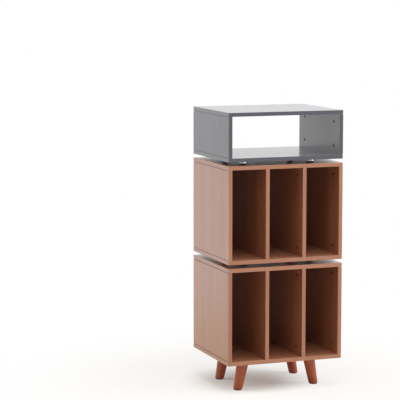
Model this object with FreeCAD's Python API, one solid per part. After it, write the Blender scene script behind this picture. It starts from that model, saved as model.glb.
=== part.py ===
import FreeCAD, Part
import math
import os

from FreeCAD import Vector

# A stacking hi-fi rack: two units with three upright bays each and an open shelf unit above them,
# on splayed round legs. Millimetres. The origin is on the floor under the middle of the rack,
# X runs to the right, Y to the back and Z up, so the open front faces -Y.

# Overall sizes
rack_width = 470.0
rack_depth = 390.0
board_thickness = 15.0
bay_unit_height = 375.0
shelf_unit_height = 187.0
stack_gap = 15.0
leg_height = 116.0

# Board edges: a glued band closes the front and side edges
band_thickness = 1.0
edge_radius = 0.6
corner_radius = 1.5

# Shadow line on the outside of a side, where it meets the boards above and below
seam_width = 2.0
seam_depth = 3.0

# Back panel, held in a groove
back_thickness = 5.0
back_setback = 12.0
groove_depth = 6.0
groove_clearance = 0.1

# Knock-down fittings: cam, cam bolt and dowel
cam_inset = 54.0
cam_setback = 32.0
cam_radius = 5.9
cam_height = 12.0
cam_hole_radius = 6.0
cam_hole_depth = 12.5
cam_neck_slot = 2.1
cam_head_pocket = 3.2
cam_slot_length = 6.4
cam_slot_width = 1.2
cam_slot_depth = 2.5
bolt_thread_radius = 3.0
bolt_thread_length = 11.0
bolt_neck_radius = 1.7
bolt_neck_length = 7.0
bolt_head_radius = 2.8
bolt_head_length = 3.0
bolt_bore_radius = 4.0
dowel_radius = 4.0
dowel_length = 30.0
dowel_in_flat_board = 10.0
dowel_chamfer = 1.0
dowel_spacing = 32.0
hole_clearance = 0.05
hole_extra_depth = 0.5

# Spacer feet between the units
spacer_inset_x = 95.0
spacer_inset_y = 100.0
spacer_radius = 15.0
spacer_top_radius = 13.1
spacer_chamfer = 1.0
pad_outer_radius = 12.4
pad_inner_radius = 8.1
pad_height = 3.0
pad_shown = 1.0
pad_clearance = 0.1
spacer_bore_radius = 2.3
counterbore_radius = 5.0
counterbore_depth = 5.0

# Screws of the spacers and the leg plates
screw_radius = 2.0
screw_head_radius = 4.2
screw_head_height = 2.8
screw_head_chamfer = 0.9
screw_bite = 11.0

# Legs
leg_splay = 11.0
leg_inset_x = 75.0
leg_inset_y = 95.0
leg_top_radius = 23.0
leg_foot_radius = 17.2
leg_foot_round = 1.2
leg_top_drop = 9.0
plate_size = 60.0
plate_thickness = 2.5
plate_corner = 8.0
plate_hole_offset = 22.0
plate_boss_radius = 16.0
plate_hole_radius = 2.3
hanger_radius = 4.0
hanger_in_leg = 30.0
hanger_in_plate = 7.5
glide_radius = 15.2
glide_thickness = 3.0
glide_pin_radius = 1.25
glide_pin_length = 14.0

# Places worked out from the sizes above
half_width = rack_width / 2
half_depth = rack_depth / 2
lower_base = leg_height
upper_base = lower_base + bay_unit_height + stack_gap
shelf_base = upper_base + bay_unit_height + stack_gap
back_front_face = half_depth - back_setback - back_thickness
bay_width = (rack_width - 4 * board_thickness) / 3
divider_x = (bay_width + board_thickness) / 2
cam_y = half_depth - cam_inset
dowel_y = cam_y - dowel_spacing
leg_tilt = math.radians(leg_splay)
leg_length = (leg_height - leg_top_drop) / math.cos(leg_tilt)
corners = {"front_left": (-1, -1), "front_right": (1, -1), "back_left": (-1, 1), "back_right": (1, 1)}
overcut = 1.0
tolerance = 1e-6
up = Vector(0, 0, 1)


def block(x0, x1, y0, y1, z0, z1):
    """A box between two corners."""
    return Part.makeBox(x1 - x0, y1 - y0, z1 - z0, Vector(x0, y0, z0))


def rod(start, direction, radius, length):
    """A round bar from a point along a direction."""
    return Part.makeCylinder(radius, length, start, direction)


def near(a, b):
    """True where two lengths are the same."""
    return abs(a - b) < tolerance


def flat_board(z0):
    """A top or bottom board as (core, band); the band wraps the front and both ends."""
    whole = block(-half_width, half_width, -half_depth, half_depth, z0, z0 + board_thickness)
    front_uprights = [e for e in whole.Edges
                      if all(near(v.Y, -half_depth) for v in e.Vertexes)
                      and near(e.Vertexes[0].X, e.Vertexes[1].X)]
    whole = whole.makeFillet(corner_radius, front_uprights)
    faces = [f for f in whole.Faces if near(f.BoundBox.ZMin, f.BoundBox.ZMax)]
    rims = [e for f in faces for e in f.Edges if not near(e.BoundBox.YMin, half_depth)]
    whole = whole.makeFillet(edge_radius, rims)
    inner = half_width - band_thickness
    inside = block(-inner, inner, -half_depth + band_thickness, half_depth + overcut,
                   z0 - overcut, z0 + board_thickness + overcut)
    return whole.common(inside), whole.cut(inside)


def seam_lines(outer_x, outward, z0, z1, y1):
    """The narrow rebates along the two ends of a side's outer face."""
    x0, x1 = sorted((outer_x - outward * seam_depth, outer_x + outward * overcut))
    return [block(x0, x1, -half_depth - overcut, y1 + overcut, low_z, low_z + seam_width)
            for low_z in (z0, z1 - seam_width)]


def upright_board(x, z0, z1, y1, outward):
    """A side or divider centred on x as (core, band); the band closes the front edge.

    outward is the direction of a side's outer face along X, and 0 for a divider.
    """
    x0, x1 = x - board_thickness / 2, x + board_thickness / 2
    whole = block(x0, x1, -half_depth, y1, z0, z1)
    front = [e for e in whole.Edges if all(near(v.Y, -half_depth) for v in e.Vertexes)]
    whole = whole.makeFillet(edge_radius, front)
    if outward:
        whole = whole.cut(seam_lines(outward * half_width, outward, z0, z1, y1))
    inside = block(x0 - overcut, x1 + overcut, -half_depth + band_thickness, y1 + overcut,
                   z0 - overcut, z1 + overcut)
    return whole.common(inside), whole.cut(inside)


def cam_disc(x, y, z, facing, towards):
    """A cam disc whose slotted face lies on the board's face; the bolt comes in from its end."""
    face_x = x + facing * board_thickness / 2
    start = Vector(face_x, y, z)
    inward = Vector(-facing, 0, 0)
    disc = rod(start, inward, cam_radius, cam_height)
    axis = Vector(0, 0, towards)
    middle = Vector(x, y, z)
    disc = disc.cut(rod(middle, axis, cam_neck_slot, cam_radius + overcut))
    disc = disc.cut(rod(middle - axis * cam_head_pocket, axis, cam_head_pocket, 2 * cam_head_pocket))
    for length_y, length_z in ((cam_slot_length, cam_slot_width), (cam_slot_width, cam_slot_length)):
        x_pair = sorted((face_x + facing * overcut, face_x - facing * cam_slot_depth))
        disc = disc.cut(block(x_pair[0], x_pair[1], y - length_y / 2, y + length_y / 2,
                              z - length_z / 2, z + length_z / 2))
    return disc


def cam_bolt(x, y, end_z, towards):
    """The bolt from a flat board into the cam: thread, shank, neck and head."""
    axis = Vector(0, 0, towards)
    start = Vector(x, y, end_z) + axis * bolt_thread_length
    shank_length = cam_setback - bolt_neck_length - bolt_head_length / 2
    shank = rod(start, axis * -1, bolt_thread_radius, bolt_thread_length + shank_length)
    neck_at = Vector(x, y, end_z) - axis * shank_length
    neck = rod(neck_at, axis * -1, bolt_neck_radius, bolt_neck_length)
    head = rod(neck_at - axis * bolt_neck_length, axis * -1, bolt_head_radius, bolt_head_length)
    return shank.fuse(neck).fuse(head).removeSplitter()


def dowel(x, y, end_z, towards):
    """A beech dowel, a third of it in the flat board and the rest in the upright."""
    start = Vector(x, y, end_z + towards * dowel_in_flat_board)
    bar = rod(start, Vector(0, 0, -towards), dowel_radius, dowel_length)
    rims = [e for e in bar.Edges if e.Closed]
    return bar.makeChamfer(dowel_chamfer, rims)


def joint_fittings(x, facing, z0, z1):
    """Cams, bolts and dowels that hold one upright between two flat boards, with their drillings."""
    fit = {"cams": [], "bolts": [], "dowels": [], "upright_cuts": [], "flat_cuts": []}
    for end_z, towards in ((z0, -1), (z1, 1)):
        axis = Vector(0, 0, towards)
        for side in (-1, 1):
            y = side * cam_y
            cam_z = end_z - towards * cam_setback
            fit["cams"].append(cam_disc(x, y, cam_z, facing, towards))
            fit["bolts"].append(cam_bolt(x, y, end_z, towards))
            face = Vector(x + facing * board_thickness / 2, y, cam_z)
            fit["upright_cuts"].append(rod(face, Vector(-facing, 0, 0), cam_hole_radius, cam_hole_depth))
            fit["upright_cuts"].append(rod(Vector(x, y, end_z), axis * -1, bolt_bore_radius, cam_setback))
            fit["flat_cuts"].append(rod(Vector(x, y, end_z), axis, bolt_thread_radius + hole_clearance,
                                        bolt_thread_length + hole_extra_depth))
            y = side * dowel_y
            fit["dowels"].append(dowel(x, y, end_z, towards))
            hole = dowel_radius + hole_clearance
            in_upright = dowel_length - dowel_in_flat_board
            fit["upright_cuts"].append(rod(Vector(x, y, end_z), axis * -1, hole,
                                           in_upright + hole_extra_depth))
            fit["flat_cuts"].append(rod(Vector(x, y, end_z), axis, hole,
                                        dowel_in_flat_board + hole_extra_depth))
    return fit


def back_groove(z0, z1):
    """The space that the back panel's groove takes out of the boards around it."""
    reach = half_width - board_thickness + groove_depth
    return block(-reach, reach, back_front_face - groove_clearance,
                 back_front_face + back_thickness + groove_clearance, z0 - groove_depth, z1 + groove_depth)


def back_panel(z0, z1):
    """The thin back, a little smaller than the grooves it sits in."""
    play = 2 * groove_clearance
    reach = half_width - board_thickness + groove_depth - play
    return block(-reach, reach, back_front_face, back_front_face + back_thickness,
                 z0 - groove_depth + play, z1 + groove_depth - play)


def unit(name, base, height, with_bays):
    """One box of the stack as {node: shape}, with dividers and a back where it has bays."""
    z0 = base + board_thickness
    z1 = base + height - board_thickness
    side_x = half_width - board_thickness / 2
    uprights = {"left_side": (-side_x, 1, half_depth), "right_side": (side_x, -1, half_depth)}
    if with_bays:
        divider_back = back_front_face - groove_clearance
        uprights["left_divider"] = (-divider_x, 1, divider_back)
        uprights["right_divider"] = (divider_x, -1, divider_back)
    flats = {"bottom_panel": flat_board(base), "top_panel": flat_board(z1)}
    groove = back_groove(z0, z1)
    nodes = {}
    fittings = {"cams": [], "bolts": [], "dowels": []}
    flat_cuts = []
    stile_bands = []
    for part, (x, facing, y1) in uprights.items():
        outward = -facing if part.endswith("side") else 0
        core, band = upright_board(x, z0, z1, y1, outward)
        fit = joint_fittings(x, facing, z0, z1)
        core = core.cut(fit["upright_cuts"])
        if with_bays and outward:
            core = core.cut(groove)
        nodes[f"{name}_{part}"] = core
        stile_bands.append(band)
        flat_cuts += fit["flat_cuts"]
        for kind in fittings:
            fittings[kind] += fit[kind]
    for part, (core, band) in flats.items():
        core = core.cut(flat_cuts)
        if with_bays:
            core = core.cut(groove)
        nodes[f"{name}_{part}"] = core
    if with_bays:
        nodes[f"{name}_back_panel"] = back_panel(z0, z1)
    nodes[f"{name}_rail_bands"] = Part.makeCompound([band for _, band in flats.values()])
    nodes[f"{name}_stile_bands"] = Part.makeCompound(stile_bands)
    nodes[f"{name}_cam_discs"] = Part.makeCompound(fittings["cams"])
    nodes[f"{name}_cam_bolts"] = Part.makeCompound(fittings["bolts"])
    nodes[f"{name}_dowels"] = Part.makeCompound(fittings["dowels"])
    return nodes


def pan_head_screw(x, y, seat_z, tip_z):
    """A screw that goes up from the seat of its head to its tip."""
    low_z = seat_z - screw_head_height
    head = rod(Vector(x, y, low_z), up, screw_head_radius, screw_head_height)
    rim = [e for e in head.Edges if e.Closed and near(e.BoundBox.ZMax, low_z)]
    head = head.makeChamfer(screw_head_chamfer, rim)
    shank = rod(Vector(x, y, seat_z), up, screw_radius, tip_z - seat_z)
    return head.fuse(shank).removeSplitter()


def pilot_hole(x, y, base):
    """The drilling for a screw in the underside of a board."""
    return rod(Vector(x, y, base), up, screw_radius + hole_clearance, screw_bite + hole_extra_depth)


def spacer_body(low, height):
    """A turned metal foot, a little wider at its base, seated for its rubber ring and its screw."""
    body = Part.makeCone(spacer_radius, spacer_top_radius, height, low, up)
    body = body.makeChamfer(spacer_chamfer, [e for e in body.Edges if e.Closed])
    seat = pad_height - pad_shown
    ring_seat = rod(low, up, pad_outer_radius + pad_clearance, seat)
    ring_seat = ring_seat.cut(rod(low, up, pad_inner_radius - pad_clearance, seat))
    bore = rod(low, up, spacer_bore_radius, height)
    counterbore = rod(low, up, counterbore_radius, counterbore_depth)
    return body.cut([ring_seat, bore, counterbore])


def spacer_pad(low):
    """The rubber ring that a foot stands on."""
    ring = rod(low, up, pad_outer_radius, pad_height)
    return ring.cut(rod(low, up, pad_inner_radius, pad_height))


def add_spacers(nodes, name, base):
    """Four spacer feet under a unit that stands on the one below."""
    pads, screws, pilots = [], [], []
    body_height = stack_gap - pad_shown
    for corner, (side_x, side_y) in corners.items():
        x = side_x * (half_width - spacer_inset_x)
        y = side_y * (half_depth - spacer_inset_y)
        low = Vector(x, y, base - body_height)
        nodes[f"{name}_spacer_{corner}"] = spacer_body(low, body_height)
        pads.append(spacer_pad(low - up * pad_shown))
        screws.append(pan_head_screw(x, y, low.z + counterbore_depth, base + screw_bite))
        pilots.append(pilot_hole(x, y, base))
    nodes[f"{name}_bottom_panel"] = nodes[f"{name}_bottom_panel"].cut(pilots)
    nodes[f"{name}_spacer_pads"] = Part.makeCompound(pads)
    nodes[f"{name}_spacer_screws"] = Part.makeCompound(screws)


def leg_line(side_x, side_y):
    """One leg's axis as the point where it meets the floor, its direction and its top."""
    foot = Vector(side_x * (half_width - leg_inset_x), side_y * (half_depth - leg_inset_y), 0)
    rise = Vector(-side_x * math.sin(leg_tilt), 0, math.cos(leg_tilt))
    return foot, rise, foot + rise * leg_length


def leg(foot, rise, top, glide_at):
    """A tapered leg, square to its axis at the top and level at the foot, bored for its fittings."""
    overrun = 2 * leg_foot_radius * math.tan(leg_tilt)
    taper = (leg_top_radius - leg_foot_radius) / leg_length
    body = Part.makeCone(leg_foot_radius - taper * overrun, leg_top_radius, leg_length + overrun,
                         foot - rise * overrun, rise)
    reach = 2 * leg_top_radius
    body = body.cut(block(foot.x - reach, foot.x + reach, foot.y - reach, foot.y + reach,
                          -reach, glide_thickness))
    foot_rim = [e for e in body.Edges if near(e.BoundBox.ZMax, glide_thickness)]
    body = body.makeFillet(leg_foot_round, foot_rim)
    bolt_hole = rod(top, rise * -1, hanger_radius + hole_clearance, hanger_in_leg + hole_extra_depth)
    pin_hole = rod(glide_at, up, glide_pin_radius + hole_clearance, glide_pin_length + hole_extra_depth)
    return body.cut([bolt_hole, pin_hole])


def leg_glide(glide_at):
    """The plastic glide nailed under a leg."""
    disc = rod(glide_at - up * glide_thickness, up, glide_radius, glide_thickness)
    return disc.fuse(rod(glide_at, up, glide_pin_radius, glide_pin_length)).removeSplitter()


def leg_plate(rise, top, middle, screw_places):
    """A plate under the board with a boss that is cut square to the splayed leg."""
    half = plate_size / 2
    low_z = leg_height - plate_thickness
    plate = block(middle.x - half, middle.x + half, middle.y - half, middle.y + half, low_z, leg_height)
    uprights = [e for e in plate.Edges if not near(e.BoundBox.ZMin, e.BoundBox.ZMax)]
    plate = plate.makeFillet(plate_corner, uprights)
    boss = rod(top, rise, plate_boss_radius, 2 * leg_top_drop)
    boss = boss.cut(block(middle.x - plate_size, middle.x + plate_size, middle.y - plate_size,
                          middle.y + plate_size, leg_height, leg_height + plate_size))
    plate = plate.fuse(boss).removeSplitter()
    holes = [rod(top, rise, hanger_radius + hole_clearance, hanger_in_plate + hole_extra_depth)]
    holes += [rod(Vector(x, y, low_z), up, plate_hole_radius, plate_thickness) for x, y in screw_places]
    return plate.cut(holes)


def add_legs(nodes):
    """Four legs under the lower unit, each on its plate."""
    bolts, glides, screws, pilots = [], [], [], []
    plate_low = leg_height - plate_thickness
    for corner, (side_x, side_y) in corners.items():
        foot, rise, top = leg_line(side_x, side_y)
        middle = top + rise * (leg_top_drop / math.cos(leg_tilt))
        glide_at = foot + rise * (glide_thickness / math.cos(leg_tilt))
        screw_places = [(middle.x + dx * plate_hole_offset, middle.y + dy * plate_hole_offset)
                        for dx, dy in corners.values()]
        nodes[f"leg_{corner}"] = leg(foot, rise, top, glide_at)
        nodes[f"leg_plate_{corner}"] = leg_plate(rise, top, middle, screw_places)
        bolts.append(rod(top - rise * hanger_in_leg, rise, hanger_radius, hanger_in_leg + hanger_in_plate))
        glides.append(leg_glide(glide_at))
        screws += [pan_head_screw(x, y, plate_low, leg_height + screw_bite) for x, y in screw_places]
        pilots += [pilot_hole(x, y, leg_height) for x, y in screw_places]
    nodes["lower_bottom_panel"] = nodes["lower_bottom_panel"].cut(pilots)
    nodes["leg_hanger_bolts"] = Part.makeCompound(bolts)
    nodes["leg_glides"] = Part.makeCompound(glides)
    nodes["leg_plate_screws"] = Part.makeCompound(screws)


def main():
    nodes = unit("lower", lower_base, bay_unit_height, True)
    nodes.update(unit("upper", upper_base, bay_unit_height, True))
    nodes.update(unit("shelf", shelf_base, shelf_unit_height, False))
    add_spacers(nodes, "upper", upper_base)
    add_spacers(nodes, "shelf", shelf_base)
    add_legs(nodes)
    os.makedirs("parts", exist_ok=True)
    for name, shape in nodes.items():
        solids = shape.Solids
        faulty = [s for s in solids if not s.isValid()]
        print(f"{name}: {len(solids)} solid(s), {shape.Volume / 1000:.1f} cm3"
              + (f", {len(faulty)} not valid" if faulty else ""))
        out = solids[0] if len(solids) == 1 else Part.makeCompound(solids)
        out.exportStep(f"parts/{name}.step")
    print(f"{len(nodes)} nodes, {shelf_base + shelf_unit_height:.0f} mm tall")


main()
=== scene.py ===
import math

import bpy
import numpy as np
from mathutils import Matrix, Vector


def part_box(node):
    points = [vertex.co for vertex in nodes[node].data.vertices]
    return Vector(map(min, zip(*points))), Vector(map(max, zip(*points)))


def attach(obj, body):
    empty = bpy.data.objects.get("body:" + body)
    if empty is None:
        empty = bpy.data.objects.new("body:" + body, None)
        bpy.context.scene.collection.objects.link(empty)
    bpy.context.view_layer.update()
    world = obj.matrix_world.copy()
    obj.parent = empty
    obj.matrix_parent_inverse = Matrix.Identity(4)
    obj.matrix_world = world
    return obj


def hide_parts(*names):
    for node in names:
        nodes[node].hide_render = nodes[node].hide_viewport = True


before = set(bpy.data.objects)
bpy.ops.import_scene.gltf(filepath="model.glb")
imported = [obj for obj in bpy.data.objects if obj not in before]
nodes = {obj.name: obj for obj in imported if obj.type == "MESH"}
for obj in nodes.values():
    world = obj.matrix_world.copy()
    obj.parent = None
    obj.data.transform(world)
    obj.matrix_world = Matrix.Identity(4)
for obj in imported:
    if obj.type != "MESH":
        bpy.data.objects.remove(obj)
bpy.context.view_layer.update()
scene = bpy.context.scene
scene.view_settings.view_transform = "Standard"


# small helpers for building shader trees

socketNames = {"roughness": "Roughness", "metallic": "Metallic", "specular": "Specular IOR Level",
               "coat": "Coat Weight", "coatRoughness": "Coat Roughness"}


def startFinish(name, **sockets):  # a principled material with its constant values set on the shader
    material = bpy.data.materials.new(name)
    material.use_nodes = True
    tree = material.node_tree
    shader = tree.nodes["Principled BSDF"]
    for socket, value in sockets.items():
        shader.inputs[socketNames[socket]].default_value = value
    return material, tree, shader


def put(tree, kind, inputs, **settings):  # a new node; an input is another node's output or a constant
    node = tree.nodes.new(kind)
    for key, value in settings.items():
        setattr(node, key, value)
    for key, value in inputs.items():
        if isinstance(value, bpy.types.NodeSocket):
            tree.links.new(value, node.inputs[key])
        else:
            node.inputs[key].default_value = value
    return node


def opaque(tone):  # red, green and blue with a full alpha
    return tone + (1.0,)


def calc(tree, operation, a, b=0.0):
    return put(tree, "ShaderNodeMath", {0: a, 1: b}, operation=operation).outputs["Value"]


def vectorCalc(tree, operation, inputs):
    return put(tree, "ShaderNodeVectorMath", inputs, operation=operation)


def noiseNode(tree, point, stretch, detail, shift=(0.0, 0.0, 0.0)):  # one noise cell per 1/stretch metres
    mapped = put(tree, "ShaderNodeMapping", {"Vector": point, "Scale": stretch, "Location": shift})
    return put(tree, "ShaderNodeTexNoise",
               {"Vector": mapped.outputs["Vector"], "Scale": 1.0, "Detail": detail})


def noise(tree, point, stretch, **settings):
    return noiseNode(tree, point, stretch, **settings).outputs["Fac"]


def wander(tree, point, stretch, reach):  # moves a point by a slow noise, up to half of reach each way
    drift = noiseNode(tree, point, stretch, detail=1.0).outputs["Color"]
    centred = vectorCalc(tree, "SUBTRACT", {0: drift, 1: (0.5, 0.5, 0.5)}).outputs["Vector"]
    scaled = vectorCalc(tree, "SCALE", {0: centred, "Scale": reach}).outputs["Vector"]
    return vectorCalc(tree, "ADD", {0: point, 1: scaled}).outputs["Vector"]


def ramp(tree, value, stops):  # each stop is a place and a colour or a grey level
    node = put(tree, "ShaderNodeValToRGB", {"Fac": value})
    elements = node.color_ramp.elements
    while len(elements) < len(stops):
        elements.new(0.5)  # its place is set below
    for element, (place, tone) in zip(elements, stops):
        element.position = place
        element.color = opaque(tone if isinstance(tone, tuple) else (tone, tone, tone))
    return node.outputs["Color"]


def mixTone(tree, factor, a, b, mode="MIX"):  # sockets 6, 7 and 2 are the mix node's colours
    a, b = (opaque(tone) if isinstance(tone, tuple) else tone for tone in (a, b))
    node = put(tree, "ShaderNodeMix", {0: factor, 6: a, 7: b}, data_type="RGBA", blend_type=mode)
    return node.outputs[2]


def timesTone(tree, tone, other):
    return mixTone(tree, 1.0, tone, other, "MULTIPLY")


def spread(tree, value, low, high):  # a 0 to 1 value carried to low..high
    node = put(tree, "ShaderNodeMapRange", {"Value": value, "To Min": low, "To Max": high})
    return node.outputs["Result"]


def easeIn(tree, value, start, end):  # rises smoothly from 0 at start to 1 at end
    node = put(tree, "ShaderNodeMapRange", {"Value": value, "From Min": start, "From Max": end},
               interpolation_type="SMOOTHSTEP")
    return node.outputs["Result"]


def addBump(tree, shader, height, depth, strength):
    bump = put(tree, "ShaderNodeBump", {"Height": height, "Distance": depth, "Strength": strength})
    tree.links.new(bump.outputs["Normal"], shader.inputs["Normal"])


def objectPoint(tree):
    return put(tree, "ShaderNodeTexCoord", {}).outputs["Object"]


facing = {"flat": 0.99, "round": 0.90, "end": 0.75}  # a normal's share along an axis


def easedEdge(tree):  # 1 on the rounded edges, whose normals lean between two axes, 0 on the flats
    normal = put(tree, "ShaderNodeNewGeometry", {}).outputs["Normal"]
    size = vectorCalc(tree, "ABSOLUTE", {0: normal}).outputs["Vector"]
    parts = put(tree, "ShaderNodeSeparateXYZ", {"Vector": size}).outputs
    largest = calc(tree, "MAXIMUM", calc(tree, "MAXIMUM", parts["X"], parts["Y"]), parts["Z"])
    lean = put(tree, "ShaderNodeMapRange",
               {"Value": largest, "From Min": facing["flat"], "From Max": facing["round"]})
    return lean.outputs["Result"]


def grainStretch(along, across, length):  # cells 'across' wide and 'length' long, along one axis
    return tuple(1 / length if axis == along else 1 / across for axis in "xyz")


def turnedAtEnds(tree, point):  # swaps x and y on the end faces, so an edge band's grain follows the band
    normal = put(tree, "ShaderNodeNewGeometry", {}).outputs["Normal"]
    sideways = put(tree, "ShaderNodeSeparateXYZ", {"Vector": normal}).outputs["X"]
    isEnd = calc(tree, "GREATER_THAN", calc(tree, "ABSOLUTE", sideways), facing["end"])
    parts = put(tree, "ShaderNodeSeparateXYZ", {"Vector": point}).outputs
    swapped = put(tree, "ShaderNodeCombineXYZ", {"X": parts["Y"], "Y": parts["X"], "Z": parts["Z"]})
    chosen = put(tree, "ShaderNodeMix", {0: isEnd, 4: point, 5: swapped.outputs["Vector"]},
                 data_type="VECTOR")
    return chosen.outputs[1]  # sockets 4, 5 and 1 are the mix node's vectors


# small helpers for surfaces, worked out as whole arrays of rows and spokes

def skin(grid, isLoop):  # quads between rows; a loop's last row meets its first, else a fan closes each end
    rows, spokes = grid.shape[:2]
    i, j = np.meshgrid(np.arange(rows if isLoop else rows - 1), np.arange(spokes), indexing="ij")
    here, there = i * spokes, (i + 1) % rows * spokes
    k = (j + 1) % spokes
    quads = np.stack([here + j, here + k, there + k, there + j], -1).reshape(-1, 4)
    points = grid.reshape(-1, 3)
    fans = np.zeros((0, 3), int)
    if not isLoop:
        points = np.concatenate([points, grid[[0, -1]].mean(1)])
        middle = np.full(spokes, rows * spokes)
        j, k = j[0], k[0]
        last = (rows - 1) * spokes
        fans = np.concatenate([np.stack([middle, k, j], -1), np.stack([middle + 1, last + j, last + k], -1)])
    triangles = np.concatenate([quads[:, :3], quads[:, [0, 2, 3]], fans])
    a, b, c = (points[triangles[:, n]] for n in range(3))
    if np.sum(a * np.cross(b, c)) < 0:  # the signed volume tells which way the faces point
        quads, fans = quads[:, ::-1], fans[:, ::-1]
    return points, quads, fans


sharpAngle = math.radians(38.0)  # edges sharper than this stay crisp


def addPiece(name, grids, isLoop, material, facts, replaced):  # one mesh of all grids, for one CAD node
    points, faces, used = [], [], 0
    for grid in grids:
        own, quads, fans = skin(grid, isLoop)
        points.append(own)
        faces += (quads + used).tolist() + (fans + used).tolist()
        used += len(own)
    mesh = bpy.data.meshes.new(name)
    mesh.from_pydata(np.concatenate(points).tolist(), [], faces)
    mesh.shade_smooth()
    mesh.set_sharp_from_angle(angle=sharpAngle)
    mesh.materials.append(material)
    piece = bpy.data.objects.new(name, mesh)
    scene.collection.objects.link(piece)
    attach(piece, facts["body"])
    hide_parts(replaced)


easeSteps = 6  # points on each eased corner


# a corner becomes a parabola that begins and ends 'ease' away along the two lines that meet there
def easedCorners(before, corner, after, ease):
    start = before - corner
    end = after - corner
    start = corner + start / np.linalg.norm(start, axis=-1, keepdims=True) * ease
    end = corner + end / np.linalg.norm(end, axis=-1, keepdims=True) * ease
    t = np.linspace(0.0, 1.0, easeSteps)[:, None, None]
    return (1 - t) ** 2 * start + 2 * t * (1 - t) * corner + t ** 2 * end


def easedLoop(corners, eases):  # a closed outline with every corner eased
    corners = np.array(corners)
    curves = easedCorners(np.roll(corners, 1, 0), corners, np.roll(corners, -1, 0), np.array(eases)[:, None])
    return curves.swapaxes(0, 1).reshape(-1, 2)


def easedLine(corners, eases):  # an open outline with its inner corners eased
    corners = np.array(corners)
    curves = easedCorners(corners[:-2], corners[1:-1], corners[2:], np.array(eases)[:, None])
    return np.concatenate([corners[:1], curves.swapaxes(0, 1).reshape(-1, 2), corners[-1:]])


# an outline of radius and height is turned round an upright axis: x and y are the radius times the
# cosine and sine of the spoke's angle
def turned(outline, centre, spokes):
    angle = np.linspace(0.0, 2 * np.pi, spokes, endpoint=False)
    radius, height = outline[:, :1], outline[:, 1:]
    x = centre[0] + radius * np.cos(angle)
    y = centre[1] + radius * np.sin(angle)
    return np.stack(np.broadcast_arrays(x, y, centre[2] + height), -1)


def middleOf(nodeName):
    low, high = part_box(nodeName)
    return (np.array(low) + np.array(high)) / 2


# boards and edge bands

brownFoil = {
    "deep": (0.308, 0.118, 0.057), "body": (0.354, 0.142, 0.072), "pale": (0.391, 0.164, 0.086),
    "worn": (0.52, 0.27, 0.17),
    "figureWidth": 0.055, "figureLength": 1.3, "figureShare": 0.6, "waver": 0.010,
    "bandWidth": 0.019, "bandLength": 0.7,
    "fibreWidth": 0.0016, "fibreLength": 0.09, "fibreLow": 0.91, "fibreHigh": 1.06,
    "poreWidth": 0.00045, "poreLength": 0.011,
    "poreDepth": 0.00016, "roughLow": 0.30, "roughHigh": 0.40,
    "specular": 0.5, "coat": 1.0, "coatRoughness": 0.3,
}

greyFoil = {
    "deep": (0.056, 0.061, 0.077), "body": (0.062, 0.067, 0.084), "pale": (0.067, 0.073, 0.090),
    "worn": (0.17, 0.18, 0.205),
    "figureWidth": 0.080, "figureLength": 0.9, "figureShare": 0.6, "waver": 0.010,
    "bandWidth": 0.030, "bandLength": 0.5,
    "fibreWidth": 0.0011, "fibreLength": 0.03, "fibreLow": 0.90, "fibreHigh": 1.06,
    "poreWidth": 0.0006, "poreLength": 0.004,
    "poreDepth": 0.00009, "roughLow": 0.30, "roughHigh": 0.40,
    "specular": 0.3, "coat": 1.0, "coatRoughness": 0.18,
}

foilDrawing = {  # what the foils and the bare wood have in common
    "wanderWidth": 0.15, "wanderLength": 0.3, "figureDetail": 1.0,
    "bandDetail": 2.0, "bandStops": (0.32, 0.5, 0.68),
    "fibreDetail": 4.0, "fibreStops": (0.3, 0.7), "fibreRelief": 0.35, "reliefStrength": 0.5,
    "poreDetail": 2.0, "poreStops": ((0.60, 0.0), (0.70, 1.0)), "poreTone": (0.62, 0.55, 0.5),
    "poreRough": 0.12,
    "rubDetail": 3.0, "rubCells": 120.0, "rubStops": ((0.42, 0.12), (0.68, 0.75)),
    "smearDetail": 2.0, "smearCells": 9.0,
}

# painted shade in the grooves at a side's two ends: the groove's size and the tone that darkens it
sideSeamShade = {"width": 0.0020, "depth": 0.0030, "slack": 0.00005, "tone": (0.24, 0.21, 0.19)}


# 1 inside the shadow lines of a unit's sides, where painted shade goes: near the outer face, and within a
# seam's width of an end
def seamShadeMask(tree, point, unit):
    low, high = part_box(unit + "_left_side")
    parts = put(tree, "ShaderNodeSeparateXYZ", {"Vector": point}).outputs
    inner = -low.x - sideSeamShade["depth"] - sideSeamShade["slack"]
    isOuter = calc(tree, "GREATER_THAN", calc(tree, "ABSOLUTE", parts["X"]), inner)
    fromMiddle = calc(tree, "ABSOLUTE", calc(tree, "SUBTRACT", parts["Z"], (low.z + high.z) / 2))
    start = (high.z - low.z) / 2 - sideSeamShade["width"] - sideSeamShade["slack"]
    return calc(tree, "MULTIPLY", isOuter, calc(tree, "GREATER_THAN", fromMiddle, start))
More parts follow.
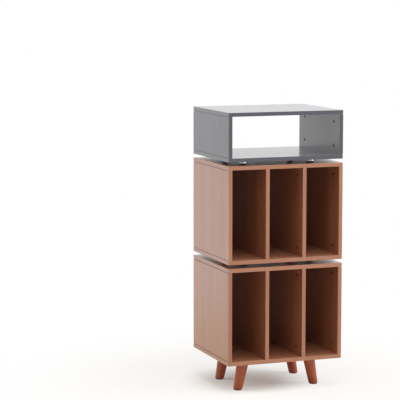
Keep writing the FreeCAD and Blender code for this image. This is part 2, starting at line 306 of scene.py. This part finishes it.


# a broad figure, bands, fine fibres and short pores are four noises drawn out along the grain, and the
# first two wander a little; the rounded edges are rubbed paler where a coarse noise lets them, and the
# seams of a unit's sides are darkened with painted shade
def foilBoard(name, look, along, shift, isBand=False, shadedSeamUnit=None):
    material, tree, shader = startFinish(name, specular=look["specular"], coat=look["coat"],
                                         coatRoughness=look["coatRoughness"])
    drawing = foilDrawing
    point = objectPoint(tree)
    if isBand:
        point = turnedAtEnds(tree, point)

    def grainNoise(source, mark):
        stretch = grainStretch(along, look[mark + "Width"], look[mark + "Length"])
        return noise(tree, source, stretch, detail=drawing[mark + "Detail"], shift=shift)

    def evenNoise(mark):
        stretch = (drawing[mark + "Cells"],) * 3
        return noise(tree, point, stretch, detail=drawing[mark + "Detail"], shift=shift)

    slow = grainStretch(along, drawing["wanderWidth"], drawing["wanderLength"])
    loose = wander(tree, point, slow, look["waver"])
    figure = calc(tree, "MULTIPLY", grainNoise(loose, "figure"), look["figureShare"])
    bands = calc(tree, "MULTIPLY", grainNoise(loose, "band"), 1.0 - look["figureShare"])
    fibres = grainNoise(point, "fibre")
    pores = grainNoise(point, "pore")
    bandStops = list(zip(drawing["bandStops"], (look["deep"], look["body"], look["pale"])))
    tone = ramp(tree, calc(tree, "ADD", figure, bands), bandStops)
    fibreStops = list(zip(drawing["fibreStops"], (look["fibreLow"], look["fibreHigh"])))
    tone = timesTone(tree, tone, ramp(tree, fibres, fibreStops))
    poreMask = ramp(tree, pores, drawing["poreStops"])
    tone = mixTone(tree, poreMask, tone, timesTone(tree, tone, drawing["poreTone"]))
    rubbed = ramp(tree, evenNoise("rub"), drawing["rubStops"])
    tone = mixTone(tree, calc(tree, "MULTIPLY", easedEdge(tree), rubbed), tone, look["worn"])
    # painted shade: the side boards' colour is darkened inside the recessed seams at their ends
    if shadedSeamUnit:
        dark = timesTone(tree, tone, sideSeamShade["tone"])
        tone = mixTone(tree, seamShadeMask(tree, point, shadedSeamUnit), tone, dark)
    tree.links.new(tone, shader.inputs["Base Color"])
    rough = spread(tree, evenNoise("smear"), look["roughLow"], look["roughHigh"])
    rough = calc(tree, "ADD", rough, calc(tree, "MULTIPLY", poreMask, drawing["poreRough"]))
    tree.links.new(rough, shader.inputs["Roughness"])
    relief = calc(tree, "SUBTRACT", calc(tree, "MULTIPLY", fibres, drawing["fibreRelief"]), poreMask)
    addBump(tree, shader, relief, look["poreDepth"], drawing["reliefStrength"])
    return material


units = {
    "lower": {"look": brownFoil, "shift": (0.0, 0.0, 0.0), "body": "lower_unit"},
    "upper": {"look": brownFoil, "shift": (13.1, 5.7, 9.3), "body": "upper_unit"},
    "shelf": {"look": greyFoil, "shift": (4.6, 21.3, 2.2), "body": "shelf_unit"},
}
boardGrain = {  # which way the grain of each kind of board runs
    "left_side": "z", "right_side": "z", "left_divider": "z", "right_divider": "z",
    "back_panel": "z", "top_panel": "x", "bottom_panel": "x", "rail_bands": "x", "stile_bands": "z",
}


def paint(nodeName, material):
    nodes[nodeName].material_slots[0].material = material


def dressBoards():
    for unit, facts in units.items():
        made = {}
        for board, along in boardGrain.items():
            nodeName = unit + "_" + board
            if nodeName not in nodes:
                continue
            isBand = board == "rail_bands"
            key = (along, isBand)
            if key not in made:
                title = unit + ("EdgeRail" if isBand else "Grain" + along.upper())
                made[key] = foilBoard(title, facts["look"], along, facts["shift"], isBand,
                                      unit if along == "z" else None)
            paint(nodeName, made[key])
    print("boards dressed")


# legs

legWood = {
    "early": (0.405, 0.094, 0.033), "late": (0.29, 0.058, 0.02), "streak": (0.74, 0.66, 0.6),
    "ringPitch": 0.0065, "lateFrom": 0.62, "lateFull": 0.92, "ringRelief": 0.2,
    "pithOffset": (0.045, 0.02), "waver": 0.012, "waverCells": (28.0, 28.0, 7.0),
    "streakWidth": 0.0008, "streakLength": 0.03, "streakStops": ((0.55, 0.0), (0.72, 0.8)),
    "coat": 0.1, "coatRoughness": 0.18, "roughLow": 0.30, "roughHigh": 0.42,
    "grainDepth": 0.00012, "reliefStrength": 0.4,
}
legTurning = {
    "splay": math.radians(11.0), "footRadius": 0.0172, "topRadius": 0.0230,
    "footEase": 0.0024, "topEase": 0.0012, "rows": 24, "spokes": 96,
    "body": "lower_unit", "slot": "leg_wood",
}
rackCorners = {"front_left": (-1, -1), "front_right": (1, -1), "back_left": (-1, 1), "back_right": (1, 1)}


# growth rings are cylinders round a pith beside the leg's own axis, wavering slowly along it,
# so the long cut shows lines and the foot shows arcs
def solidWood(name, look, foot, tilt):
    material, tree, shader = startFinish(name, coat=look["coat"], coatRoughness=look["coatRoughness"])
    mapped = put(tree, "ShaderNodeMapping", {"Vector": objectPoint(tree), "Location": foot,
                                             "Rotation": (0.0, tilt, 0.0)}, vector_type="TEXTURE")
    point = mapped.outputs["Vector"]
    waver = noise(tree, point, look["waverCells"], detail=2.0)
    parts = put(tree, "ShaderNodeSeparateXYZ", {"Vector": point}).outputs
    east = calc(tree, "ADD", parts["X"], look["pithOffset"][0])
    north = calc(tree, "ADD", parts["Y"], look["pithOffset"][1])
    radius = calc(tree, "SQRT", calc(tree, "ADD", calc(tree, "MULTIPLY", east, east),
                                     calc(tree, "MULTIPLY", north, north)))
    radius = calc(tree, "ADD", radius, calc(tree, "MULTIPLY", waver, look["waver"]))
    ring = calc(tree, "FRACT", calc(tree, "DIVIDE", radius, look["ringPitch"]))
    tone = ramp(tree, ring, ((0.0, look["early"]), (look["lateFrom"], look["early"]),
                             (look["lateFull"], look["late"]), (1.0, look["early"])))
    streaks = noise(tree, point, grainStretch("z", look["streakWidth"], look["streakLength"]), detail=3.0)
    streakMask = ramp(tree, streaks, look["streakStops"])
    tone = mixTone(tree, streakMask, tone, timesTone(tree, tone, look["streak"]))
    tree.links.new(tone, shader.inputs["Base Color"])
    rough = spread(tree, streaks, look["roughLow"], look["roughHigh"])
    tree.links.new(rough, shader.inputs["Roughness"])
    relief = calc(tree, "SUBTRACT", calc(tree, "MULTIPLY", ring, look["ringRelief"]), streakMask)
    addBump(tree, shader, relief, look["grainDepth"], look["reliefStrength"])
    return material


# a cone round a leaning axis: the radius grows evenly with the way up the axis, which starts where the
# side meets the level foot, so later on the high side, and ends at the square top; both rims are eased
def legSurface(foot, lean, footHeight, topHeight):
    facts = legTurning
    rise = np.array([-math.sin(lean), 0.0, math.cos(lean)])
    length = topHeight / math.cos(lean)
    taper = (facts["topRadius"] - facts["footRadius"]) / length
    angle = np.linspace(0.0, 2 * np.pi, facts["spokes"], endpoint=False)
    across = np.stack([np.cos(angle) * math.cos(lean), np.sin(angle), np.cos(angle) * math.sin(lean)], -1)
    begin = (footHeight - facts["footRadius"] * across[:, 2]) / (math.cos(lean) + taper * across[:, 2])
    way = begin + np.linspace(0.0, 1.0, facts["rows"])[:, None] * (length - begin)
    radius = facts["footRadius"] + taper * way
    side = np.array(foot) + way[..., None] * rise + radius[..., None] * across
    footRim = easedCorners(side[0].mean(0), side[0], side[1], facts["footEase"])
    topRim = easedCorners(side[-2], side[-1], side[-1].mean(0), facts["topEase"])
    return np.concatenate([footRim, side[1:-1], topRim])


def makeLegs():
    facts = legTurning
    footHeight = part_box("leg_front_left")[0].z
    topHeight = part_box("leg_front_left")[1].z - facts["topRadius"] * math.sin(facts["splay"])
    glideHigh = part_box("leg_glides")[1]
    glideRadius = legGlide["radius"]
    footX = glideHigh.x - glideRadius + footHeight * math.tan(facts["splay"])
    footY = glideHigh.y - glideRadius
    for corner, (sideX, sideY) in rackCorners.items():
        foot = (sideX * footX, sideY * footY, 0.0)
        lean = sideX * facts["splay"]
        wood = solidWood("legWood_" + corner, legWood, foot, -lean)
        addPiece("turnedLeg_" + corner, [legSurface(foot, lean, footHeight, topHeight)], False, wood, facts,
                 "leg_" + corner)
    print("legs turned")


legGlide = {
    "radius": 0.0152, "flatRadius": 0.006, "lowEase": 0.0014, "topEase": 0.0004,
    "pinRadius": 0.00125, "pinEase": 0.0003, "pinLength": 0.014, "spokes": 72,
    "body": "lower_unit", "slot": "glide_nylon",
}


def makeGlides(material):  # a flat disc with a rounded tread and its nail
    facts = legGlide
    low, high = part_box("leg_glides")
    thick = high.z - facts["pinLength"]
    outline = easedLine([(facts["flatRadius"], 0.0), (facts["radius"], 0.0), (facts["radius"], thick),
                         (facts["pinRadius"], thick), (facts["pinRadius"], high.z)],
                        [facts["lowEase"], facts["topEase"], facts["pinEase"]])
    places = [(sideX * (high.x - facts["radius"]), sideY * (high.y - facts["radius"]), low.z)
              for sideX, sideY in rackCorners.values()]
    grids = [turned(outline, place, facts["spokes"]) for place in places]
    addPiece("nylonGlides", grids, False, material, facts, "leg_glides")
    print("glides turned")


# metal, rubber and plastic

polishedNickel = {"tone": (0.48, 0.48, 0.485), "pitch": 0.0004, "depth": 0.000006,
                  "roughLow": 0.03, "roughHigh": 0.09, "metallic": 1.0, "specular": 0.5}
platedSteel = {"tone": (0.55, 0.55, 0.56), "pitch": 0.0016, "depth": 0.00004,
               "roughLow": 0.26, "roughHigh": 0.42, "metallic": 1.0, "specular": 0.5}
castZinc = {"tone": (0.055, 0.055, 0.058), "pitch": 0.0009, "depth": 0.00006,
            "roughLow": 0.52, "roughHigh": 0.68, "metallic": 0.4, "specular": 0.3}
metalMarks = {"turningCells": 12.0, "smudgeCells": 70.0, "smudgeStops": ((0.3, 0.82), (0.7, 1.0)),
              "reliefStrength": 0.6}


# turning marks are fine lines across the axis; plating and casting have an even speckle instead
def bareMetal(name, look, isTurned=False):
    material, tree, shader = startFinish(name, metallic=look["metallic"], specular=look["specular"])
    point = objectPoint(tree)
    fine = 1 / look["pitch"]
    level = metalMarks["turningCells"] if isTurned else fine
    speckle = noise(tree, point, (level, level, fine), detail=2.0)
    smudge = noise(tree, point, (metalMarks["smudgeCells"],) * 3, detail=3.0)
    tone = timesTone(tree, look["tone"], ramp(tree, smudge, metalMarks["smudgeStops"]))
    tree.links.new(tone, shader.inputs["Base Color"])
    tree.links.new(spread(tree, smudge, look["roughLow"], look["roughHigh"]), shader.inputs["Roughness"])
    addBump(tree, shader, speckle, look["depth"], metalMarks["reliefStrength"])
    return material


dullRubber = {"tone": (0.022, 0.022, 0.023), "dust": (0.075, 0.072, 0.068), "pitch": 0.0007, "rough": 0.78}
darkNylon = {"tone": (0.045, 0.03, 0.025), "dust": (0.11, 0.095, 0.085), "pitch": 0.0011, "rough": 0.48}
mouldMarks = {"pebbleDepth": 0.00005, "reliefStrength": 0.5,
              "dustCells": 160.0, "dustStops": ((0.5, 0.0), (0.75, 0.6))}


def mouldedPart(name, look):  # a dark moulding with a fine pebble and a little dust
    material, tree, shader = startFinish(name, roughness=look["rough"])
    point = objectPoint(tree)
    fine = 1 / look["pitch"]
    pebble = noise(tree, point, (fine, fine, fine), detail=2.0)
    dust = noise(tree, point, (mouldMarks["dustCells"],) * 3, detail=4.0)
    tone = mixTone(tree, ramp(tree, dust, mouldMarks["dustStops"]), look["tone"], look["dust"])
    tree.links.new(tone, shader.inputs["Base Color"])
    addBump(tree, shader, pebble, mouldMarks["pebbleDepth"], mouldMarks["reliefStrength"])
    return material


beechDowel = {
    "deep": (0.50, 0.33, 0.19), "body": (0.60, 0.42, 0.26), "pale": (0.68, 0.50, 0.33),
    "worn": (0.70, 0.54, 0.38), "shift": (2.0, 7.0, 1.0),
    "figureWidth": 0.008, "figureLength": 0.3, "figureShare": 0.5, "waver": 0.002,
    "bandWidth": 0.004, "bandLength": 0.2,
    "fibreWidth": 0.0006, "fibreLength": 0.02, "fibreLow": 0.88, "fibreHigh": 1.05,
    "poreWidth": 0.0003, "poreLength": 0.004, "poreDepth": 0.0001, "roughLow": 0.6, "roughHigh": 0.75,
    "specular": 0.4, "coat": 0.0, "coatRoughness": 0.3,
}


spacerFoot = {
    "topRadius": 0.0131, "rimEase": 0.0010, "innerEase": 0.0003, "boreRadius": 0.0023,
    "counterboreRadius": 0.0050, "counterboreDepth": 0.0050,
    "seatInner": 0.0080, "seatOuter": 0.0125, "seatDepth": 0.0020, "spokes": 96,
    "slot": "polished_metal",
}
rubberRing = {"outer": 0.0124, "inner": 0.0081, "ease": 0.0011, "spokes": 96, "slot": "rubber_pad"}
spacedUnits = ("upper", "shelf")


# the foot's outline runs up its sloping flank, in over the top, down the screw's bore and out along the
# underside, in and out of the ring's seat
def footSurface(low, high):
    facts = spacerFoot
    height = high.z - low.z
    radius = (high.x - low.x) / 2
    flank = [(radius, 0.0), (facts["topRadius"], height)]
    bore = [(facts["boreRadius"], height), (facts["boreRadius"], facts["counterboreDepth"]),
            (facts["counterboreRadius"], facts["counterboreDepth"]), (facts["counterboreRadius"], 0.0)]
    seat = [(facts["seatInner"], 0.0), (facts["seatInner"], facts["seatDepth"]),
            (facts["seatOuter"], facts["seatDepth"]), (facts["seatOuter"], 0.0)]
    eases = [facts["rimEase"]] * len(flank) + [facts["innerEase"]] * len(bore + seat)
    centre = ((low.x + high.x) / 2, (low.y + high.y) / 2, low.z)
    return turned(easedLoop(flank + bore + seat, eases), centre, facts["spokes"])


def makeFeet(metal, rubber):
    for unit in spacedUnits:
        body = units[unit]["body"]
        ringLow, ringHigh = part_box(unit + "_spacer_pads")
        height = ringHigh.z - ringLow.z
        ease = rubberRing["ease"]
        ringOutline = easedLoop([(rubberRing["outer"], 0.0), (rubberRing["outer"], height),
                                 (rubberRing["inner"], height), (rubberRing["inner"], 0.0)], [ease] * 4)
        rings = []
        for corner in rackCorners:
            node = unit + "_spacer_" + corner
            addPiece(unit + "Foot_" + corner, [footSurface(*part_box(node))], True, metal,
                     {"body": body, "slot": spacerFoot["slot"]}, node)
            middle = middleOf(node)
            rings.append(turned(ringOutline, (middle[0], middle[1], ringLow.z), rubberRing["spokes"]))
        addPiece(unit + "FootRings", rings, True, rubber, {"body": body, "slot": rubberRing["slot"]},
                 unit + "_spacer_pads")
    print("feet turned")


panScrew = {
    "headRadius": 0.0042, "headHeight": 0.0028, "panPower": 4.0,
    "domeShares": (0.0, 0.3, 0.55, 0.75, 0.88, 0.96, 1.0),  # the rows from the recess out to the rim
    "shankRadius": 0.0020, "tipRadius": 0.0006, "tipLength": 0.0030,
    "armLength": 0.0024, "armHalfWidth": 0.00058, "recessDepth": 0.0015, "recessTaper": 0.5,
    "turnStep": 0.83, "plateHoleOffset": 0.022, "slot": "steel_screw",
}
nearZero = 1e-6  # keeps a division off zero


# the head is as high as the root of one less the fourth power of the radius's share; its cross recess has
# a star-shaped rim, whose radius is the arm's length over the cosine of the angle from the arm, or half the
# arm's width over the sine where that is less; rows run from the recess floor over the head and up the
# shank to the tip
def screwSurface(centre, length, turn):
    facts = panScrew
    corner = math.atan2(facts["armHalfWidth"], facts["armLength"])
    half = np.array([0.0, corner / 2, corner, (corner + np.pi / 4) / 2, np.pi / 4])
    quarter = np.concatenate([half, np.pi / 2 - half[-2:0:-1]])
    angle = (quarter + np.arange(4)[:, None] * np.pi / 2).ravel()
    fromArm = np.abs((angle + np.pi / 4) % (np.pi / 2) - np.pi / 4)
    beside = facts["armHalfWidth"] / np.maximum(np.sin(fromArm), nearZero)
    rim = np.minimum(facts["armLength"] / np.cos(fromArm), beside)
    share = np.array(facts["domeShares"])[:, None]
    dome = rim + share * (facts["headRadius"] - rim)
    domeHeight = facts["headHeight"] * np.sqrt(1 - (dome / facts["headRadius"]) ** facts["panPower"])
    straight = np.ones_like(angle)
    shank = [facts["shankRadius"] * straight, facts["shankRadius"] * straight, facts["tipRadius"] * straight]
    shankHeight = [0.0 * straight, (facts["tipLength"] - length) * straight, -length * straight]
    floorHeight = (facts["headHeight"] - facts["recessDepth"]) * straight
    radius = np.concatenate([[rim * facts["recessTaper"]], dome, shank])
    height = np.concatenate([[floorHeight], domeHeight, shankHeight])
    return np.stack([centre[0] + radius * np.cos(angle + turn), centre[1] + radius * np.sin(angle + turn),
                     centre[2] - height], -1)


def addScrews(name, places, material, body, node):
    facts = panScrew
    low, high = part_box(node)
    seat = low.z + facts["headHeight"]
    grids = [screwSurface((x, y, seat), high.z - seat, facts["turnStep"] * n)
             for n, (x, y) in enumerate(places)]
    addPiece(name, grids, False, material, {"body": body, "slot": facts["slot"]}, node)


def makeScrews(material):
    for unit in spacedUnits:
        middles = [middleOf(unit + "_spacer_" + corner) for corner in rackCorners]
        addScrews(unit + "FootScrews", [(m[0], m[1]) for m in middles], material, units[unit]["body"],
                  unit + "_spacer_screws")
    step = panScrew["plateHoleOffset"]
    middles = [middleOf("leg_plate_" + corner) for corner in rackCorners]
    places = [(m[0] + sideX * step, m[1] + sideY * step)
              for m in middles for sideX, sideY in rackCorners.values()]
    addScrews("plateScrews", places, material, legTurning["body"], "leg_plate_screws")
    print("screws made")


def makeFittings():
    nickel = bareMetal("polishedNickel", polishedNickel, True)
    plated = bareMetal("platedSteel", platedSteel)
    zinc = bareMetal("castZinc", castZinc)
    beech = foilBoard("bareBeech", beechDowel, "z", beechDowel["shift"])
    makeGlides(mouldedPart("darkNylon", darkNylon))
    makeFeet(nickel, mouldedPart("dullRubber", dullRubber))
    makeScrews(plated)
    paint("leg_hanger_bolts", plated)
    for corner in rackCorners:
        paint("leg_plate_" + corner, plated)
    for unit in units:
        paint(unit + "_cam_discs", zinc)
        paint(unit + "_cam_bolts", zinc)
        paint(unit + "_dowels", beech)
    print("fittings made")


# stage: floor, light and camera

floorLook = {
    "radius": 6.0, "innerShare": 0.02, "ringPower": 1.5, "rings": 48, "spokes": 96,
    "tone": (0.82, 0.74, 0.64), "roughness": 0.9, "specular": 0.0,
    "shadeCentre": (-0.06, 0.045, 0.0), "underFrom": 0.08, "underTo": 0.30, "underWhite": 0.23,
    "nearWhite": 0.78, "shadeFrom": 0.25, "shadeTo": 1.1, "mirrorFrom": 1.0, "mirrorTo": 2.4,
}
plainWhite = (1.0, 1.0, 1.0)


# a flat disc: rings of points at radius u and angle v, closer together towards the middle
def floorDisc(look):
    rings, spokes = look["rings"], look["spokes"]
    u, v = np.meshgrid(np.linspace(look["innerShare"], 1.0, rings) ** look["ringPower"] * look["radius"],
                       np.linspace(0, 2 * np.pi, spokes, endpoint=False), indexing="ij")
    points = np.stack([u * np.cos(v), u * np.sin(v), np.zeros_like(u)], -1).reshape(-1, 3)
    i, j = np.meshgrid(np.arange(rings - 1) * spokes, np.arange(spokes), indexing="ij")
    k = (j + 1) % spokes
    faces = np.stack([i + j, i + spokes + j, i + spokes + k, i + k], -1).reshape(-1, 4)
    middle = [list(range(spokes))]
    mesh = bpy.data.meshes.new("studioFloor")
    mesh.from_pydata(points.tolist(), [], middle + faces.tolist())
    return mesh


# a plain warm floor to the light; the camera sees it turn white away from the rack, in two steps, and a
# glossy board mirrors it as white only farther out
def floorFinish(look):
    material, tree, shader = startFinish("paleFloor", roughness=look["roughness"], specular=look["specular"])
    shader.inputs["Base Color"].default_value = opaque(look["tone"])
    white = put(tree, "ShaderNodeEmission", {"Color": opaque(plainWhite), "Strength": 1.0})
    place = vectorCalc(tree, "SUBTRACT", {0: objectPoint(tree), 1: look["shadeCentre"]})
    away = vectorCalc(tree, "LENGTH", {0: place.outputs["Vector"]}).outputs["Value"]
    under = easeIn(tree, away, look["underFrom"], look["underTo"])
    near = spread(tree, under, look["underWhite"], look["nearWhite"])
    inView = spread(tree, easeIn(tree, away, look["shadeFrom"], look["shadeTo"]), near, 1.0)
    inMirror = easeIn(tree, away, look["mirrorFrom"], look["mirrorTo"])
    rays = put(tree, "ShaderNodeLightPath", {}).outputs
    whiteness = calc(tree, "ADD", calc(tree, "MULTIPLY", inView, rays["Is Camera Ray"]),
                     calc(tree, "MULTIPLY", inMirror, rays["Is Glossy Ray"]))
    blend = put(tree, "ShaderNodeMixShader",
                {0: whiteness, 1: shader.outputs["BSDF"], 2: white.outputs["Emission"]})
    tree.links.new(blend.outputs["Shader"], tree.nodes["Material Output"].inputs["Surface"])
    return material


def makeFloor():
    mesh = floorDisc(floorLook)
    mesh.materials.append(floorFinish(floorLook))
    floor = bpy.data.objects.new("studioFloor", mesh)
    scene.collection.objects.link(floor)


roomLight = {"tone": (1.0, 0.995, 0.985), "strength": 0.22}


def makeWorld():  # white to the camera and in reflections, dimmer as a light
    world = bpy.data.worlds.new("whiteRoom")
    scene.world = world
    world.use_nodes = True
    tree = world.node_tree
    tree.nodes.clear()
    rays = put(tree, "ShaderNodeLightPath", {}).outputs
    seen = calc(tree, "MAXIMUM", rays["Is Camera Ray"], rays["Is Glossy Ray"])
    ambient = put(tree, "ShaderNodeBackground",
                  {"Color": opaque(roomLight["tone"]), "Strength": roomLight["strength"]})
    white = put(tree, "ShaderNodeBackground", {"Color": opaque(plainWhite), "Strength": 1.0})
    chosen = put(tree, "ShaderNodeMixShader",
                 {0: seen, 1: ambient.outputs["Background"], 2: white.outputs["Background"]})
    put(tree, "ShaderNodeOutputWorld", {"Surface": chosen.outputs["Shader"]})


lamps = {
    "keyLamp": {"place": (3.9, -2.25, 2.0), "aim": (0.0, 0.0, 0.5), "size": 2.4,
                "watts": 123.0, "isInGloss": False},
    "glintLamp": {"place": (4.3, -1.6, 0.95), "aim": (0.0, 0.0, 0.6), "size": 1.1,
                  "watts": 26.0, "isInGloss": True},
    "overheadLamp": {"place": (0.0, -1.2, 3.6), "aim": (0.0, 0.0, 0.0), "size": 2.8,
                     "watts": 104.0, "isInGloss": True},
    "leftLamp": {"place": (-3.4, 1.6, 2.2), "aim": (0.0, 0.0, 0.5), "size": 2.6,
                 "watts": 76.0, "isInGloss": False},
}


def makeLamps():  # a lamp that isn't in the gloss lights the boards but leaves no white patch on their coat
    for name, facts in lamps.items():
        data = bpy.data.lights.new(name, "AREA")
        data.shape = "DISK"
        data.size = facts["size"]
        data.energy = facts["watts"]
        lamp = bpy.data.objects.new(name, data)
        scene.collection.objects.link(lamp)
        lamp.visible_glossy = facts["isInGloss"]
        place = np.array(facts["place"])
        towards = np.array(facts["aim"]) - place
        lamp.location = place
        tilt = math.atan2(math.hypot(towards[0], towards[1]), -towards[2])
        swing = math.atan2(towards[1], towards[0]) - math.pi / 2
        lamp.rotation_euler = (tilt, 0.0, swing)


photoCamera = {
    "place": (-2.5507, -6.2373, 1.5472), "pitch": 6.977, "yaw": 20.015,
    "focalPixels": 1733.1, "imageWidth": 400, "sensorWidth": 36.0, "clipNear": 0.1, "clipFar": 200.0,
}


def makeCamera():
    facts = photoCamera
    data = bpy.data.cameras.new("photoCamera")
    data.sensor_width = facts["sensorWidth"]
    data.lens = facts["sensorWidth"] * facts["focalPixels"] / facts["imageWidth"]
    data.clip_start = facts["clipNear"]
    data.clip_end = facts["clipFar"]
    camera = bpy.data.objects.new("photoCamera", data)
    scene.collection.objects.link(camera)
    camera.location = facts["place"]
    camera.rotation_euler = (math.radians(90.0 - facts["pitch"]), 0.0, -math.radians(facts["yaw"]))
    scene.camera = camera


dressBoards()
makeLegs()
makeFittings()
makeFloor()
makeWorld()
makeLamps()
makeCamera()
print("stage set")
